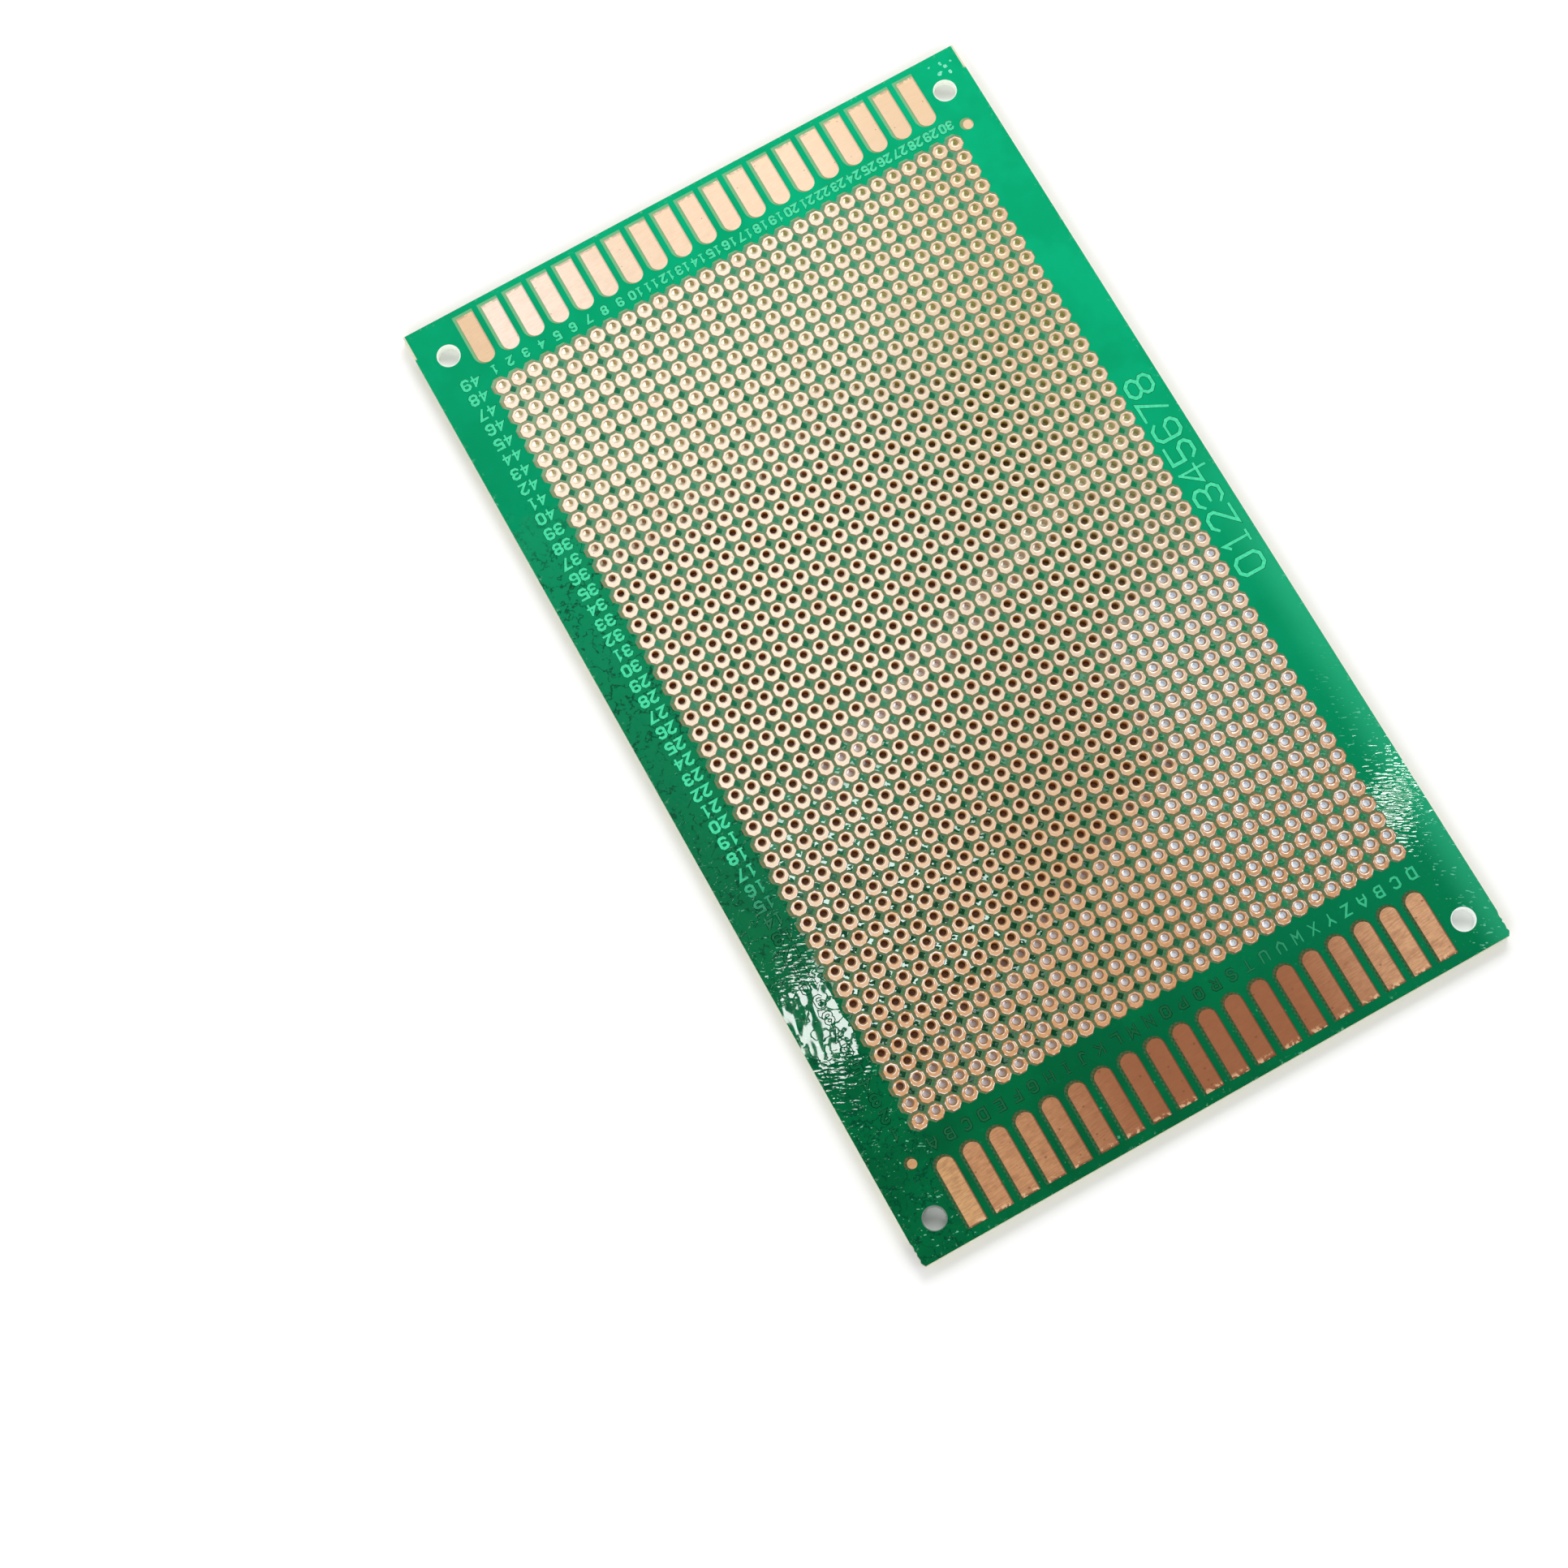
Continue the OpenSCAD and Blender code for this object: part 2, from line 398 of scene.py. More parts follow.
def light_from_below(n, x, y):
    """How much light comes up through the lead holes: little or none where the board is in shade."""
    slant = n.scale_sum((x, 0.4), (y, -1.0))
    lower = n.ramp(n.scale_sum((x, 0.39), (y, -1.0)), 37.5, 42.5)
    lower = n.times(lower, n.ramp(x, -26.0, 20.0, 0.42, 1.0))
    right = n.times(n.ramp(x, 16.0, 21.0), n.ramp(slant, 19.0, 22.5))
    right_edge = n.ramp(x, 22.0, 36.0, 0.0, 0.32)
    band_middle = 1.7
    band = n.ramp(n.size(n.minus(slant, band_middle)), 3.4, 1.2)
    band = n.times(band, n.ramp(x, -28.0, -20.0, 0.0, 0.5))
    upper = n.times(n.ramp(y, 26.0, 46.0), n.ramp(x, -36.0, 6.0, 0.78, 0.5))
    return n.largest(lower, right, right_edge, band, upper)


def sheet_finish():
    """Bare glass-epoxy: grey green, brown along each land's etched edge and where it was torn."""
    n = Nodes("bare_sheet")
    point, x, y, z = n.place()
    u, v, _, _ = pad_cell(n, x, y)
    threads = 9.0
    cloth = n.times(n.math("SINE", n.times(x, threads)), n.math("SINE", n.times(y, threads)))
    mottle = n.noise(point, 0.5, detail=3.0)
    fibres = n.streaks(point, 6.0, 2.0, 5.0, detail=3.0)
    # the bare sheet is painted darker towards the bottom: painted shade, as on the coat
    along = n.ramp(n.scale_sum((x, 0.4), (y, 1.0)), -56.0, 50.0)
    top_face = n.ramp(z, sheet_z - 0.01, sheet_z - 0.002)
    field_middle = (first_row_y + last_row_y) / 2 / MM
    half_field_l = (first_row_y - last_row_y) / 2 / MM + field_rim
    in_width = n.math("LESS_THAN", n.size(x), half_field_w)
    in_length = n.math("LESS_THAN", n.size(n.minus(y, field_middle)), half_field_l)
    in_field = n.times(in_width, in_length)
    field = field_color(n, x, y, u, v, along, mottle)
    top = n.mix(n.times(in_field, top_face), margin_color(n, x, y, along), field)
    # the underside and the cut edges show the sheet's own colour
    own = n.mix(n.ramp(mottle, 0.3, 0.7), linear(186, 184, 132), linear(170, 174, 120))
    # the corner holes' walls are painted pale and glow a little, as light seen through them; the lower
    # left corner hole is in shade and painted grey
    by_hole = near_mount_hole(n, x, y)
    open_hole = n.ramp(n.math("ADD", x, y), -96.0, -60.0)
    # the lead holes' walls are amber and olive where no light comes up, and pale low down where it does:
    # painted light
    downward = n.ramp(y, 20.0, -10.0)
    wall = n.times(n.ramp(z, sheet_z - 0.002, sheet_z - 0.03), in_field)
    lit = light_from_below(n, x, y)
    unlit_wall = n.mix(n.ramp(n.scale_sum((x, 1.0), (y, 0.4)), 4.0, 44.0),
                       linear(190, 124, 34), linear(176, 166, 70))
    lit_wall = n.mix(downward, linear(176, 172, 132), linear(176, 178, 180))
    lit_wall = n.mix(n.ramp(z, 0.95, 1.35), lit_wall, linear(122, 94, 62))
    # the corners: dark torn fibres at the lower left, pale snapped strips at the top
    torn = n.times(n.ramp(x, -44.2, -44.8), n.ramp(y, -70.9, -71.4), n.ramp(fibres, 0.35, 0.6))
    snapped = n.times(n.ramp(n.size(x), 44.6, 44.72), n.ramp(y, 70.9, 71.3))
    color = n.layers(
        n.mix(top_face, own, top),
        (n.ramp(cloth, -1.0, 1.0, 0.0, 0.10), linear(176, 178, 140)),
        (n.times(by_hole, 0.9), n.mix(open_hole, linear(112, 128, 118), linear(228, 234, 228))),
        (wall, n.mix(lit, unlit_wall, lit_wall)),
        (torn, linear(74, 52, 40)),
        (n.times(snapped, 0.8), linear(226, 222, 196)),
    )
    # the walls' glow is painted light: only the part of the wall to the left in the camera's view glows
    left_x, left_y = -0.874, 0.484
    facing = n.ramp(n.scale_sum((u, left_x), (n.minus(v, drill_shift), left_y)), 0.12, 0.36)
    shine = n.times(wall, lit, facing, n.ramp(z, 1.45, 1.2), 0.95)
    shine = n.largest(shine, n.times(by_hole, open_hole, 0.06))
    skylight = n.mix(downward, linear(240, 244, 222), linear(224, 230, 238))
    glow = n.mix(shine, linear(0, 0, 0), skylight)
    normal = n.bump(n.scale_sum((mottle, 0.4), (cloth, 0.15), (fibres, 0.3)), 0.02 * MM)
    return n.finish(color, 0.28, normal, specular=0.35, glow=glow)


def pad_finish():
    """Bare copper lands: rolled over at the rim, drawn in round the hole, each a little different."""
    n = Nodes("pad_copper")
    point, x, y, _ = n.place()
    u, v, column, row = pad_cell(n, x, y)
    chance = n.add("ShaderNodeTexWhiteNoise", n.join(column, row, 0.7), noise_dimensions="2D")
    odd = n.ramp(chance.outputs["Value"], 0.7, 1.0)
    inside = n.minus(half_pad, octagon_reach(n, u, v))
    # the draw-in lies a little to the lower right of the hole
    draw_x, draw_y = 0.05, drill_shift - 0.06
    from_hole = n.length(n.minus(u, draw_x), n.minus(v, draw_y))
    past_hole = n.minus(from_hole, hole_r)
    right_side = n.ramp(n.scale_sum((x, 1.0), (y, -0.25)), -6.0, 26.0)
    battered = n.ramp(n.scale_sum((x, 0.5), (y, -1.0)), 22.0, 70.0)

    # the relief
    pressed = n.times(right_side, n.ramp(y, 60.0, 0.0, 0.5, 1.0))
    depth = n.math("ADD", n.times(pressed, 1.7), 0.12)
    dish = n.times(n.ramp(from_hole, 0.52, 0.74), depth)
    lumps = n.noise(point, 1.6, detail=3.0, rough=0.6)
    dents = n.times(n.noise(point, 2.6), battered)
    rolled = n.ramp(inside, 0.0, 0.10)
    normal = n.bump(n.scale_sum((rolled, 0.5), (dish, 1.0), (lumps, 0.3), (dents, 2.4)), 0.03 * MM)

    # tones that change over the board: the grain is the copper's own, and the cream, peach, golden and
    # brown zones are painted reflection and shade
    grain = n.streaks(point, 3.0, 12.0)
    along = n.ramp(n.scale_sum((x, 0.35), (y, -1.0)), -10.0, 62.0)
    peach = n.times(right_side, n.ramp(y, -20.0, 40.0))
    lower_rows = n.times(n.ramp(y, -32.0, -56.0), n.ramp(x, 44.0, 6.0, 0.4, 1.0))
    golden = n.times(n.ramp(y, -6.0, -40.0), n.ramp(x, 34.0, 0.0, 0.2, 0.5))
    # painted shade darkens the rim and the drilled lip, and low on the board painted glints stand in for
    # light caught by raised burr edges
    rim_brown = n.mix(n.ramp(y, 30.0, -20.0), linear(160, 118, 78), linear(122, 80, 48))
    rim_shade = n.times(n.ramp(inside, 0.10, 0.02), n.ramp(y, 20.0, -30.0, 0.75, 0.95))
    lip = n.times(n.ramp(past_hole, 0.17, 0.06), n.ramp(y, 40.0, -20.0, 0.35, 0.85))
    rim_glint = n.times(n.ramp(inside, 0.03, 0.07), n.ramp(inside, 0.17, 0.11))
    hole_glint = n.times(n.ramp(past_hole, 0.15, 0.18), n.ramp(past_hole, 0.28, 0.23))
    broken = n.ramp(n.noise(point, 1.2), 0.47, 0.52)
    low = n.times(n.ramp(y, -4.0, -26.0), n.ramp(n.size(x), 4.0, 24.0, 0.25, 1.0))
    burr_glints = n.times(n.largest(rim_glint, hole_glint), broken, low)
    blotches = n.times(n.ramp(n.noise(point, 1.9, detail=3.0), 0.52, 0.68), battered)
    spots = n.ramp(n.speckle(point, 0.9), 0.10, 0.04)
    color = n.layers(
        n.mix(along, linear(255, 241, 218), linear(227, 183, 145)),
        (n.times(peach, 0.9), linear(229, 198, 161)),
        (n.ramp(grain, 0.3, 0.7, 0.17, 0.0), linear(226, 170, 128)),
        (n.times(odd, 0.12), linear(214, 150, 108)),
        (n.times(lower_rows, 0.7), linear(192, 134, 90)),
        (golden, linear(220, 168, 116)),
        (rim_shade, rim_brown),
        (lip, linear(128, 92, 56)),
        (burr_glints, linear(255, 250, 240)),
        (n.times(blotches, 0.5), linear(168, 104, 66)),
        (n.times(spots, 0.6), linear(132, 86, 60)),
    )
    roughness = n.ramp(grain, 0.2, 0.8, 0.26, 0.40)
    metallic = n.ramp(x, -14.0, 14.0, 0.15, 0.3)
    return n.finish(color, roughness, normal, metallic)


def finger_finish(name, first, left, middle, right, worn, brushing, pits):
    """Bare copper strips, brushed across their width, with painted shade as dark lines along their etched
    edges.
    The colours are those of the first strip, of the others from left to right, which change as painted
    reflection, and of wear."""
    n = Nodes(name)
    point, x, y, _ = n.place()
    brushed = n.streaks(point, 0.7, 5.5, turn=-6, detail=4.0, rough=0.65)
    fine = n.streaks(point, 2.2, 5.0, detail=3.0)
    mottle = n.noise(point, 0.6, detail=4.0, rough=0.6)
    grain = n.times(n.ramp(brushed, 0.66, 0.34), brushing)
    patches = n.ramp(mottle, 0.45, 0.7, 0.0, brushing * 0.5)
    spots = n.ramp(n.speckle(n.stretch(point, 1.0, 1.4), 0.55), pits, pits * 0.45)
    # the square ends are torn; painted shade darkens both sides, the right one in a wider line, and the
    # unchipped ends
    chips = n.ramp(n.noise(point, 1.7), 0.50, 0.56)
    torn_ends = n.times(n.ramp(n.size(y), 72.7, 73.3), brushing * 1.5, chips)
    dark_ends = n.times(n.ramp(n.size(y), 73.2, 73.5), n.minus(1.0, chips))
    sides = n.ramp(n.minus(half_finger, from_finger_axis(n, x)), 0.09, 0.01)
    past_axis = n.math("WRAP", n.minus(x, finger_shift), finger_pitch / 2, -finger_pitch / 2)
    right_side = n.ramp(n.minus(half_finger, past_axis), 0.26, 0.05)
    edge_shade = n.times(n.largest(sides, right_side, dark_ends), n.ramp(y, 50.0, -50.0, 0.35, 0.8))
    color = n.layers(
        left,
        (n.ramp(x, -30.0, -6.0), middle),
        (n.ramp(x, 14.0, 36.0), right),
        (n.ramp(x, -34.2, -34.4, 0.0, 0.9), first),
        (n.math("ADD", grain, patches), worn),
        (n.times(spots, 0.6), linear(120, 72, 50)),
        (torn_ends, linear(250, 208, 164)),
        (edge_shade, linear(112, 66, 40)),
    )
    height = n.scale_sum((brushed, brushing), (fine, brushing * 0.5), (spots, -0.4), (mottle, brushing))
    return n.finish(color, n.ramp(fine, 0.2, 0.8, 0.36, 0.5), n.bump(height, 0.02 * MM), metallic=0.4)


def mark_finish():
    """Lacquer over the raised copper strokes: the crests are pale, or dark where the board is in shade."""
    n = Nodes("coat_over_strokes")
    point, x, y, z = n.place()
    crest = n.ramp(z, coat_z + 0.0045, coat_z + 0.0075)
    shaded = n.times(n.ramp(y, -12.0, -27.0), n.ramp(x, 32.0, 6.0))
    # the letters along the lower edge stand out less than the numbers: painted shade low on the board
    lettered = n.ramp(y, -50.0, -58.0)
    crest_color = n.layers(
        n.mix(n.ramp(n.noise(point, 2.4), 0.3, 0.7), linear(56, 204, 148), linear(78, 218, 164)),
        (n.times(lettered, 0.75), linear(40, 164, 116)),
        (n.times(shaded, 0.95), linear(0, 82, 44)),
    )
    # the ridges' sides are painted dark round each stroke as painted shade, darker still where the board
    # is in shade
    side_shade = n.mix(shaded, linear(0, 100, 62), linear(0, 34, 16))
    # the strokes are duller than the rest of the coat, apart from the shaded numbers
    dull = 0.25
    high = n.ramp(y, -30.0, -18.0, LACQUER_ROUGHNESS, dull)
    low = n.ramp(y, -57.0, -59.0, LACQUER_ROUGHNESS, dull)
    color = n.mix(crest, side_shade, crest_color)
    return n.finish(color, n.largest(high, low), ripples(n, point, x, y), specular=LACQUER_SHINE)


def scuff_finish():
    """Scratched, dull lacquer."""
    n = Nodes("scuffed_coat")
    fine = n.noise(n.place()[0], 4.0, detail=3.0)
    color = n.mix(n.ramp(fine, 0.35, 0.6), linear(70, 198, 152), linear(132, 222, 190))
    return n.finish(color, 0.6, n.bump(fine, 0.02 * MM))


def floor_finish():
    """A nearly even pale grey."""
    n = Nodes("pale_floor")
    darker, lighter = (0.93, 0.93, 0.93, 1), (0.95, 0.95, 0.95, 1)
    color = n.mix(n.noise(n.place()[0], 0.02), darker, lighter)
    return n.finish(color, 0.9, specular=0.1)


def carry_over(node_name, material):
    """A CAD node keeps its shape and takes the material."""
    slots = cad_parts[node_name].material_slots
    for one in slots:
        one.material = material
    if not slots:
        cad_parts[node_name].data.materials.append(material)


def new_object(name, data):
    """A scene object that shows this mesh, lamp or camera."""
    obj = bpy.data.objects.new(name, data)
    bpy.context.scene.collection.objects.link(obj)
    return obj


def flat_mesh(name, verts, faces, material):
    """A mesh of one material, with flat faces."""
    mesh = bpy.data.meshes.new(name)
    mesh.from_pydata(verts, [], faces)
    mesh.materials.append(material)
    mesh.validate()
    mesh.shade_flat()
    return mesh


def lay_on_coat(obj):
    """The piece rides on the board."""
    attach(obj, ROOT)


# Strokes of the index marks, as points on a grid 4 wide and 6 high
GLYPHS = {
    "0": ["01 05 16 36 45 41 30 10 01"],
    "1": ["15 26 20", "10 30"],
    "2": ["05 16 36 45 44 00 40"],
    "3": ["05 16 36 45 44 33 13", "33 42 41 30 10 01"],
    "4": ["30 36", "36 02 42"],
    "5": ["46 06 03 33 42 41 30 10 01"],
    "6": ["45 36 16 05 01 10 30 41 42 33", "33 03"],
    "7": ["06 46 10"],
    "8": ["13 04 05 16 36 45 44 33 13", "13 02 01 10 30 41 42 33"],
    "9": ["01 10 30 41 45 36 16 05 04 13", "13 43"],
    "A": ["00 03 26 43 40", "02 42"],
    "B": ["00 06 36 45 44 33", "03 33 42 41 30 00"],
    "C": ["45 36 16 05 01 10 30 41"],
    "D": ["00 06 36 45 41 30 00"],
    "E": ["46 06 00 40", "03 33"],
    "F": ["46 06 00", "03 33"],
    "G": ["45 36 16 05 01 10 30 41 43 23"],
    "H": ["00 06", "40 46", "03 43"],
    "I": ["10 30", "16 36", "20 26"],
    "J": ["26 46", "36 31 20 10 01"],
    "K": ["00 06", "46 02", "13 40"],
    "L": ["06 00 40"],
    "M": ["00 06 23 46 40"],
    "N": ["00 06 40 46"],
    "O": ["01 05 16 36 45 41 30 10 01"],
    "P": ["00 06 36 45 44 33", "33 03"],
    "Q": ["01 05 16 36 45 41 30 10 01", "22 40"],
    "R": ["00 06 36 45 44 33", "33 03", "13 40"],
    "S": ["45 36 16 05 04 13 33 42 41 30 10 01"],
    "T": ["06 46", "26 20"],
    "U": ["06 01 10 30 41 46"],
    "V": ["06 02 20 42 46"],
    "W": ["06 00 23 40 46"],
    "X": ["00 46", "06 40"],
    "Y": ["06 23 46", "23 20"],
    "Z": ["06 46 00 40"],
}
GLYPH_W, GLYPH_H = 4, 6
ALPHABET = "ABCDEFGHIJKLMNOPQRSTUVWXYZ"

# How deep the ridges' feet stand in the coat, in millimetres
FOOT_DEPTH = 0.004
# how far their sides reach past the stroke
SHOULDER = 0.15
# how much lower each next stroke of a glyph is
LEVEL_STEP = 0.0015
# the crest's share of the stroke's width
CREST_SHARE = 0.8
# how far an open end reaches past its last point, as a share of the stroke's width
END_REACH = 0.4
# an open end's share of the stroke's full width
END_WIDTH = 0.7
# a sharp corner is widened by no more than one over this
LEAST_MITRE = 0.45


def mark_strokes(text, centre, size, advance, turn):
    """The strokes of a run of glyphs about centre, turned in degrees; size is (width, height)."""
    spin = Matrix.Rotation(math.radians(turn), 2)
    strokes = []
    for k, letter in enumerate(text):
        start = (k - (len(text) - 1) / 2) * advance - size[0] / 2
        for level, line in enumerate(GLYPHS[letter]):
            points = []
            for pair in line.split():
                across = start + int(pair[0]) / GLYPH_W * size[0]
                up = (int(pair[1]) / GLYPH_H - 0.5) * size[1]
                place = spin @ Vector((across, up))
                points.append((centre[0] + place.x, centre[1] + place.y))
            strokes.append((points, level))
    return strokes


def ridge(points, width, crest):
    """Corners and faces of one closed ridge along a stroke. Points and width are in millimetres."""
    foot = coat_top - FOOT_DEPTH * MM
    shoulder = width / 2 + SHOULDER
    top = width / 2 * CREST_SHARE
    section = ((-shoulder, foot), (-top, crest), (top, crest), (shoulder, foot))
    looped = points[0] == points[-1]
    line = [Vector(p) * MM for p in (points[:-1] if looped else points)]
    count = len(line)
    corners = []
    for k, here in enumerate(line):
        before = line[k - 1] if looped or k else None
        after = line[(k + 1) % count] if looped or k < count - 1 else None
        ahead = (after - here).normalized() if after is not None else None
        back = (here - before).normalized() if before is not None else None
        lead = ahead or back
        run = (lead + (back or ahead)).normalized()
        side = Vector((-run.y, run.x))
        spread = 1 / max(LEAST_MITRE, side.dot(Vector((-lead.y, lead.x))))
        tip = here
        # an open end reaches past its last point and is drawn in
        if before is None or after is None:
            tip = here + run * width * MM * END_REACH * (1 if after is None else -1)
            spread *= END_WIDTH
        for offset, z in section:
            corners.append((*(tip + side * offset * MM * spread), z))
    faces = []
    for k in range(count if looped else count - 1):
        a = 4 * k
        b = 4 * ((k + 1) % count)
        faces += [(a + i + 1, b + i + 1, b + i, a + i) for i in range(3)]
        faces.append((b, b + 3, a + 3, a))
    if not looped:
        last = 4 * (count - 1)
        faces.append((3, 2, 1, 0))
        faces.append((last, last + 1, last + 2, last + 3))
    return corners, faces


def raised_marks(name, strokes, width, material):
    """One piece with a ridge along each stroke."""
    verts, faces = [], []
    for points, level in strokes:
        # strokes that cross differ a hair in height, so that no two tops lie in one plane
        crest = copper_top - level * LEVEL_STEP * MM
        corners, sides = ridge(points, width, crest)
        start = len(verts)
        faces += [tuple(start + i for i in side) for side in sides]
        verts += corners
    lay_on_coat(new_object(name, flat_mesh(name, verts, faces, material)))


def index_marks(material):
    """Numbers over the columns, letters under them and numbers beside the rows, all upside down."""
    upside_down = 180
    # each kind's width and height, and the spacing in its runs
    small, small_gap = (0.72, 1.18), 1.15
    tall, tall_gap = (0.98, 1.46), 1.5
    large, large_gap = (2.65, 3.8), 3.73
    numbers_y, letters_y, rows_x = 64.2, -61.45, -39.75
    digits_middle, digits_turn = (41.65, 1.45), 90
    # the marks lie a little to the right of and above the pads' middle lines
    slip_x, slip_y = 0.1, 0.2
    numbers, letters, rows = [], [], []
    for column in range(pad_cols):
        x = (first_col_x + column * pitch) / MM + slip_x
        letter = ALPHABET[column % len(ALPHABET)]
        numbers += mark_strokes(str(column + 1), (x, numbers_y), small, small_gap, upside_down)
        letters += mark_strokes(letter, (x, letters_y), tall, tall_gap, upside_down)
    # the lowest row is number 1, and one more number stands over the highest
    for row in range(pad_rows + 1):
        y = (last_row_y + row * pitch) / MM + slip_y
        rows += mark_strokes(str(row + 1), (rows_x, y), tall, tall_gap, upside_down)
    # plain digits, in the place of the size marking
    digits = mark_strokes("012345678", digits_middle, large, large_gap, digits_turn)
    kinds = (
        ("column_numbers", numbers, 0.32), ("column_letters", letters, 0.27), ("row_numbers", rows, 0.36),
        ("edge_digits", digits, 0.5),
    )
    for name, strokes, stroke_width in kinds:
        raised_marks(name, strokes, stroke_width, material)


def island_tree():
    """Small squares of coat at the points of a grid, one between each four pads."""
    tree = bpy.data.node_groups.new("coat_islands", "GeometryNodeTree")
    sockets = tree.interface
    named = {
        "Geometry": "NodeSocketGeometry", "Spacing": "NodeSocketFloat", "Square width": "NodeSocketFloat",
        "Thickness": "NodeSocketFloat", "Columns": "NodeSocketInt", "Rows": "NodeSocketInt",
        "Centre": "NodeSocketVector", "Coat": "NodeSocketMaterial",
    }
    for name, kind in named.items():
        sockets.new_socket(name, in_out="INPUT", socket_type=kind)
    sockets.new_socket("Geometry", in_out="OUTPUT", socket_type="NodeSocketGeometry")
    new, link = tree.nodes.new, tree.links.new
    given = new("NodeGroupInput").outputs
    result = new("NodeGroupOutput").inputs

    def span(count):
        """The distance from the first to the last of so many points."""
        gaps = new("ShaderNodeMath")
        gaps.operation = "SUBTRACT"
        link(count, gaps.inputs[0])
        gaps.inputs[1].default_value = 1
        total = new("ShaderNodeMath")
        total.operation = "MULTIPLY"
        link(gaps.outputs[0], total.inputs[0])
        link(given["Spacing"], total.inputs[1])
        return total.outputs[0]

    grid = new("GeometryNodeMeshGrid")
    for axis, count in (("X", given["Columns"]), ("Y", given["Rows"])):
        link(span(count), grid.inputs["Size " + axis])
        link(count, grid.inputs["Vertices " + axis])
    points = new("GeometryNodeMeshToPoints")
    link(grid.outputs["Mesh"], points.inputs["Mesh"])
    size = new("ShaderNodeCombineXYZ")
    for socket, name in zip(size.inputs, ("Square width", "Square width", "Thickness")):
        link(given[name], socket)
    square = new("GeometryNodeMeshCube")
    link(size.outputs[0], square.inputs["Size"])
    # each square differs a little in width, because the lacquer crept unevenly
    narrowest, widest = (0.9, 0.9, 1.0), (1.04, 1.04, 1.0)
    chance = new("FunctionNodeRandomValue")
    chance.data_type = "FLOAT_VECTOR"
    chance.inputs[0].default_value = narrowest
    chance.inputs[1].default_value = widest
    chance.inputs["Seed"].default_value = 5
    put = new("GeometryNodeInstanceOnPoints")
    link(points.outputs[0], put.inputs["Points"])
    link(square.outputs["Mesh"], put.inputs["Instance"])
    link(chance.outputs[0], put.inputs["Scale"])
    put.inputs["Rotation"].default_value = (0, 0, math.radians(45))
    real = new("GeometryNodeRealizeInstances")
    moved = new("GeometryNodeTransform")
    coat = new("GeometryNodeSetMaterial")
    link(put.outputs[0], real.inputs[0])
    link(real.outputs[0], moved.inputs["Geometry"])
    link(given["Centre"], moved.inputs["Translation"])
    link(moved.outputs[0], coat.inputs["Geometry"])
    link(given["Coat"], coat.inputs["Material"])
    link(coat.outputs[0], result[0])
    return tree


def grown(name, tree, values):
    """A plain mesh object made by the tree from these named values."""
    seed = new_object(name + "_seed", bpy.data.meshes.new(name + "_seed"))
    modifier = seed.modifiers.new(name, "NODES")
    modifier.node_group = tree
    for item in tree.interface.items_tree:
        if item.in_out == "INPUT" and item.name in values:
            modifier[item.identifier] = values[item.name]
    bpy.context.view_layer.update()
    ready = seed.evaluated_get(bpy.context.evaluated_depsgraph_get())
    mesh = bpy.data.meshes.new_from_object(ready)
    mesh.shade_flat()
    mesh.name = name
    bpy.data.objects.remove(seed)
    return new_object(name, mesh)


def coat_islands(material):
    """The coat between the pads, with the slip that its openings have."""
    centre_x = first_col_x + (pad_cols - 1) * pitch / 2 - slip_left
    centre_y = (first_row_y + last_row_y) / 2 + slip_up
    values = {
        "Spacing": pitch,
        "Square width": pitch * math.sqrt(2) - opening_w,
        "Thickness": coat_t,
        "Columns": pad_cols - 1,
        "Rows": pad_rows - 1,
        "Centre": (centre_x, centre_y, sheet_top + coat_t / 2),
        "Coat": material,
    }
    lay_on_coat(grown("coat_islands", island_tree(), values))


def corner_scuffs(material):
    """Small irregular flakes that stand a hair proud of the coat by the upper right corner hole."""
    # x, y and radius of each, in millimetres
    places = (
        (40.3, 73.6, 0.24), (41.9, 73.3, 0.34), (42.6, 72.5, 0.5), (41.3, 72.1, 0.56), (42.6, 71.5, 0.4),
        (43.6, 72.9, 0.3),
    )
    sides = 9
    # the mean of an outline's distances from its middle, as a share of the radius
    evenness = 0.62
    # the golden angle keeps the outlines from repeating
    outline_turn = 137.5
    # each next flake stands a step higher, so that no two tops lie in one plane
    sunk, proud, step = 0.003, 0.002, 0.0006
    low = coat_top - sunk * MM
    verts, faces = [], []
    for k, (x, y, radius) in enumerate(places):
        high = coat_top + (proud + k * step) * MM
        start = len(verts)
        for z in (low, high):
            for i in range(sides):
                angle = 2 * math.pi * i / sides
                wave = math.sin(math.radians(outline_turn * (i * 3 + k * 7 + 1)))
                reach = radius * (evenness + (1 - evenness) * wave)
                verts.append(((x + reach * math.cos(angle)) * MM, (y + reach * math.sin(angle)) * MM, z))
        faces.append(tuple(start + i for i in range(sides))[::-1])
        faces.append(tuple(start + sides + i for i in range(sides)))
        for i in range(sides):
            j = (i + 1) % sides
            faces.append((start + i, start + j, start + sides + j, start + sides + i))
    lay_on_coat(new_object("corner_scuffs", flat_mesh("corner_scuffs", verts, faces, material)))


def lay_floor():
    """A wide floor just under the board."""
    half = 3.0
    corners = [(-half, -half, 0), (half, -half, 0), (half, half, 0), (-half, half, 0)]
    floor = new_object("floor", flat_mesh("floor", corners, [(0, 1, 2, 3)], floor_finish()))
    floor.location.z = -0.02 * MM


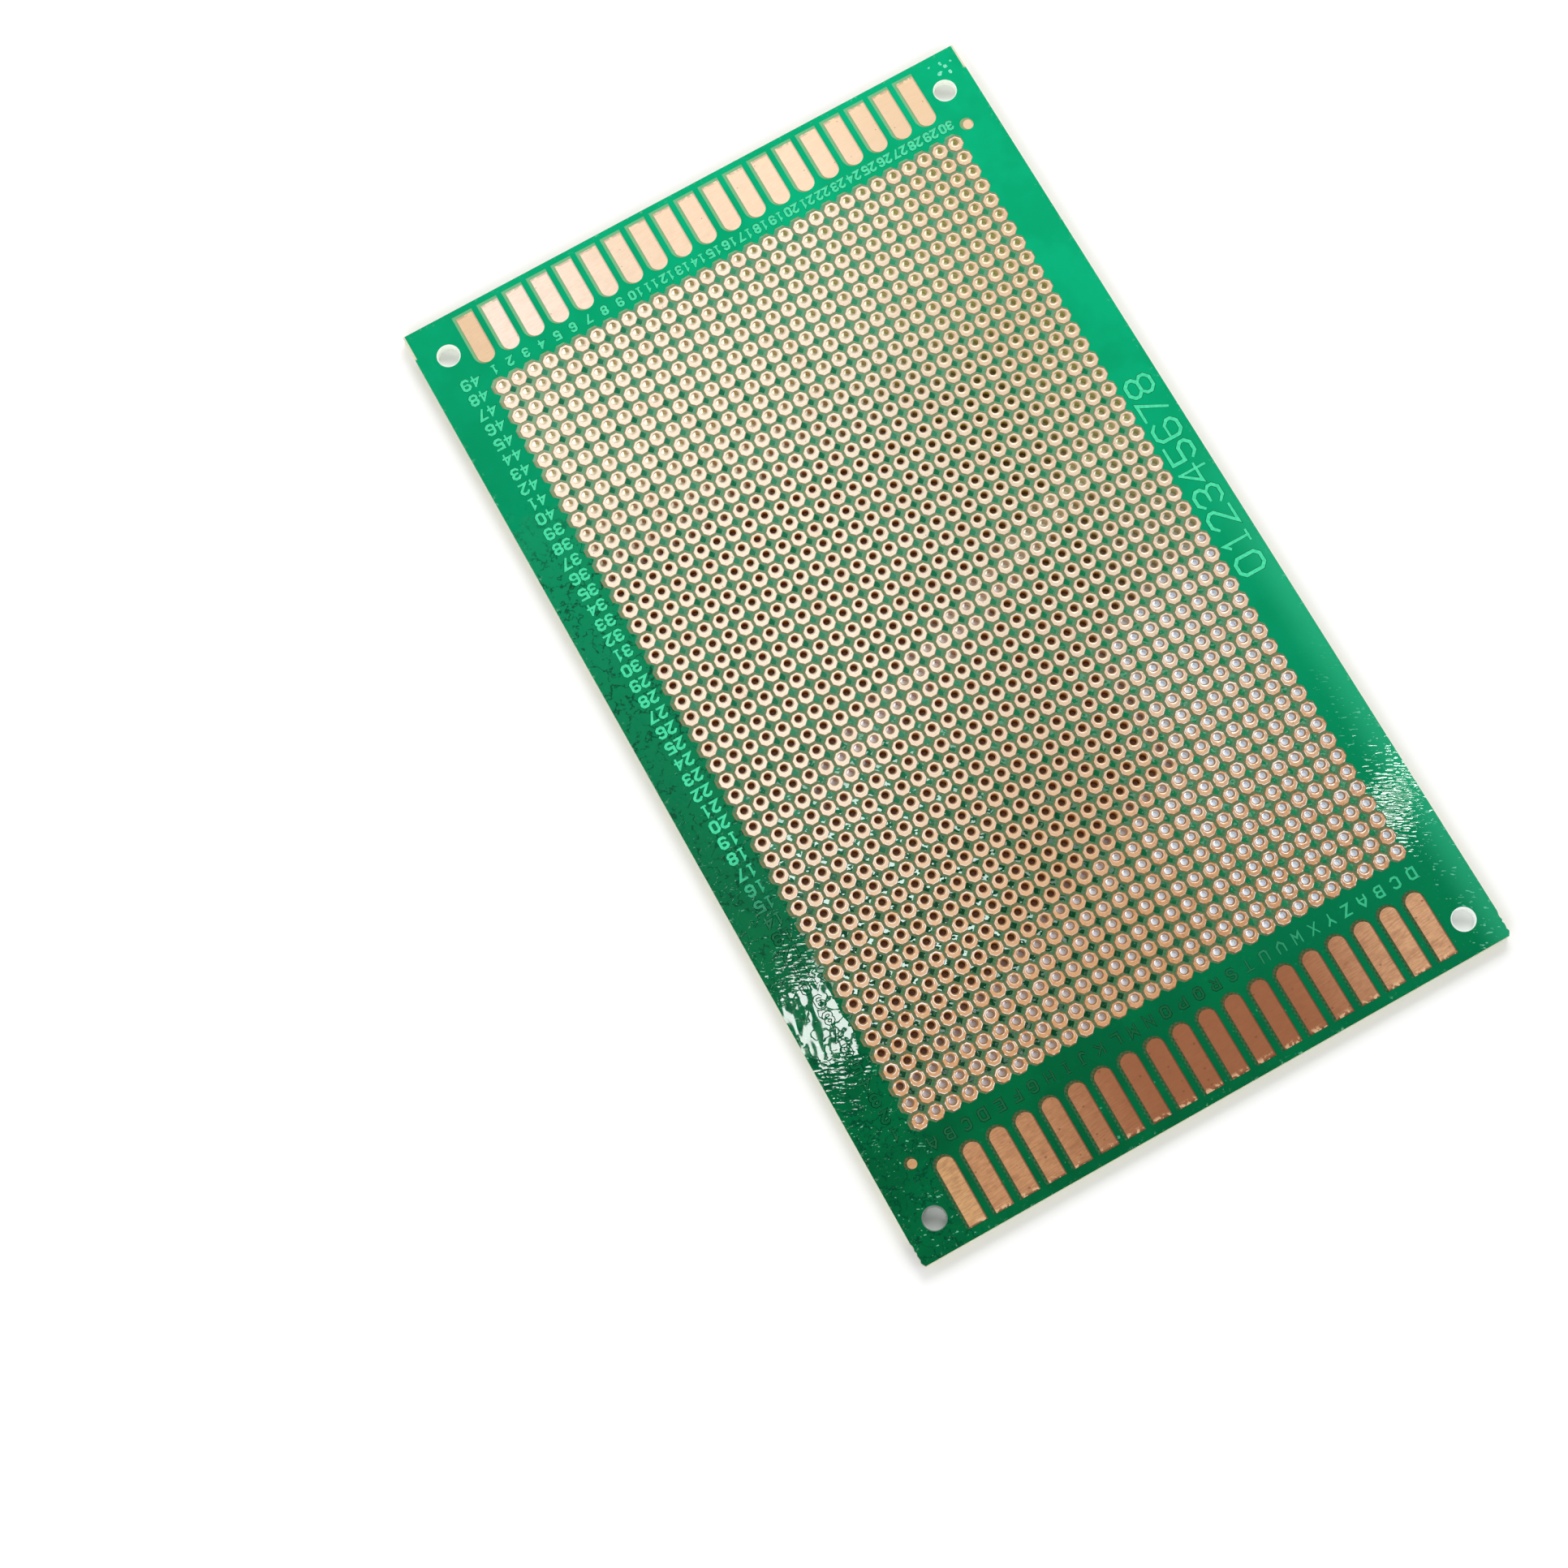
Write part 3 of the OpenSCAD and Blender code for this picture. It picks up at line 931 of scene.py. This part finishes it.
def light_tent():
    """Bright walls all round, and a dark roof, where the camera stands."""
    wall_light, roof_light = 1.42, 0.06
    wall_end, roof_start = 0.60, 0.84
    world = bpy.data.worlds.new("light_tent")
    world.use_nodes = True
    tree = world.node_tree
    coords = tree.nodes.new("ShaderNodeTexCoord")
    split = tree.nodes.new("ShaderNodeSeparateXYZ")
    tree.links.new(coords.outputs["Generated"], split.inputs[0])
    rise = tree.nodes.new("ShaderNodeMapRange")
    rise.interpolation_type = "SMOOTHSTEP"
    tree.links.new(split.outputs[2], rise.inputs[0])
    for socket, value in zip(list(rise.inputs)[1:5], (wall_end, roof_start, wall_light, roof_light)):
        socket.default_value = value
    background = tree.nodes["Background"]
    background.inputs["Color"].default_value = (1.0, 1.0, 1.0, 1)
    tree.links.new(rise.outputs[0], background.inputs["Strength"])
    bpy.context.scene.world = world


def softbox(name, where, size, power):
    """A lamp that faces the board's middle. Place and size are in metres, power is in watts."""
    lamp = bpy.data.lights.new(name, "AREA")
    lamp.shape = "RECTANGLE"
    lamp.size, lamp.size_y = size
    lamp.energy = power
    obj = new_object(name, lamp)
    obj.location = where
    obj.rotation_mode = "QUATERNION"
    obj.rotation_quaternion = (-Vector(where)).to_track_quat("-Z", "Y")


def lamps():
    """Two softboxes, and small panels whose reflections break up on the wavy lacquer."""
    panel_z = 0.776
    softbox("key_softbox", (0.45, 0.75, 0.7), (0.6, 0.5), 5.5)
    softbox("fill_softbox", (-0.55, -0.55, 0.7), (0.5, 0.5), 2.2)
    softbox("inner_band_panel", (-0.004, 0.079, panel_z), (0.0105, 0.036), 0.026)
    softbox("outer_band_panel", (-0.0175, 0.075, panel_z), (0.006, 0.026), 0.011)
    softbox("field_glint_panel", (0.021, 0.097, panel_z), (0.020, 0.030), 0.016)
    # panels one over the other, so that their common reflection fades out at its ends
    haze_power = 0.44
    for k in range(5):
        size = (0.018 + 0.008 * k, 0.07 + 0.04 * k)
        softbox(f"left_haze_panel_{k}", (-0.012, 0.20, panel_z), size, haze_power * size[0] * size[1])
    softbox("right_strip_panel", (0.235, 0.040, panel_z), (0.010, 0.022), 0.020)


def camera():
    """The photograph's own view: found by fitting the pads' places in it."""
    focal_px, frame_px = 3591.0, 1932.0
    eye = Vector((-56.81, -98.09, 388.08)) * MM
    forward = Vector((0.06906, 0.22403, -0.97213))
    up = Vector((0.48144, 0.84599, 0.22916))
    data = bpy.data.cameras.new("camera")
    data.sensor_width = 36.0
    data.lens = focal_px / frame_px * data.sensor_width
    data.clip_start, data.clip_end = 0.01, 20.0
    right = forward.cross(up).normalized()
    up = right.cross(forward).normalized()
    turn = Matrix((right, up, -forward.normalized())).transposed()
    obj = new_object("camera", data)
    obj.rotation_mode = "QUATERNION"
    obj.rotation_quaternion = turn.to_quaternion()
    obj.location = eye
    bpy.context.scene.camera = obj


camera()
lay_floor()
light_tent()
lamps()
bpy.context.scene.view_settings.view_transform = "Standard"

carry_over("laminate", sheet_finish())
carry_over("solder_mask", coat_finish())
pads = pad_finish()
for row in range(1, pad_rows + 1):
    carry_over(f"pad_row_{row:02d}", pads)
# the upper fingers' pale cream and the lower ones' darker copper, darkest in the middle, are painted
# reflection; the lower ones are also more brushed and pitted
top_copper = finger_finish(
    "top_finger_copper", first=linear(236, 200, 158), left=linear(255, 236, 218),
    middle=linear(244, 216, 186), right=linear(224, 194, 158), worn=linear(214, 168, 128),
    brushing=0.16, pits=0.08,
)
bottom_copper = finger_finish(
    "bottom_finger_copper", first=linear(230, 180, 126), left=linear(214, 158, 112),
    middle=linear(166, 104, 68), right=linear(230, 178, 134), worn=linear(150, 94, 62),
    brushing=0.42, pits=0.15,
)
for name in ("upper_dot", "top_fingers"):
    carry_over(name, top_copper)
for name in ("lower_dot", "bottom_fingers"):
    carry_over(name, bottom_copper)
coat_islands(island_finish())
index_marks(mark_finish())
corner_scuffs(scuff_finish())
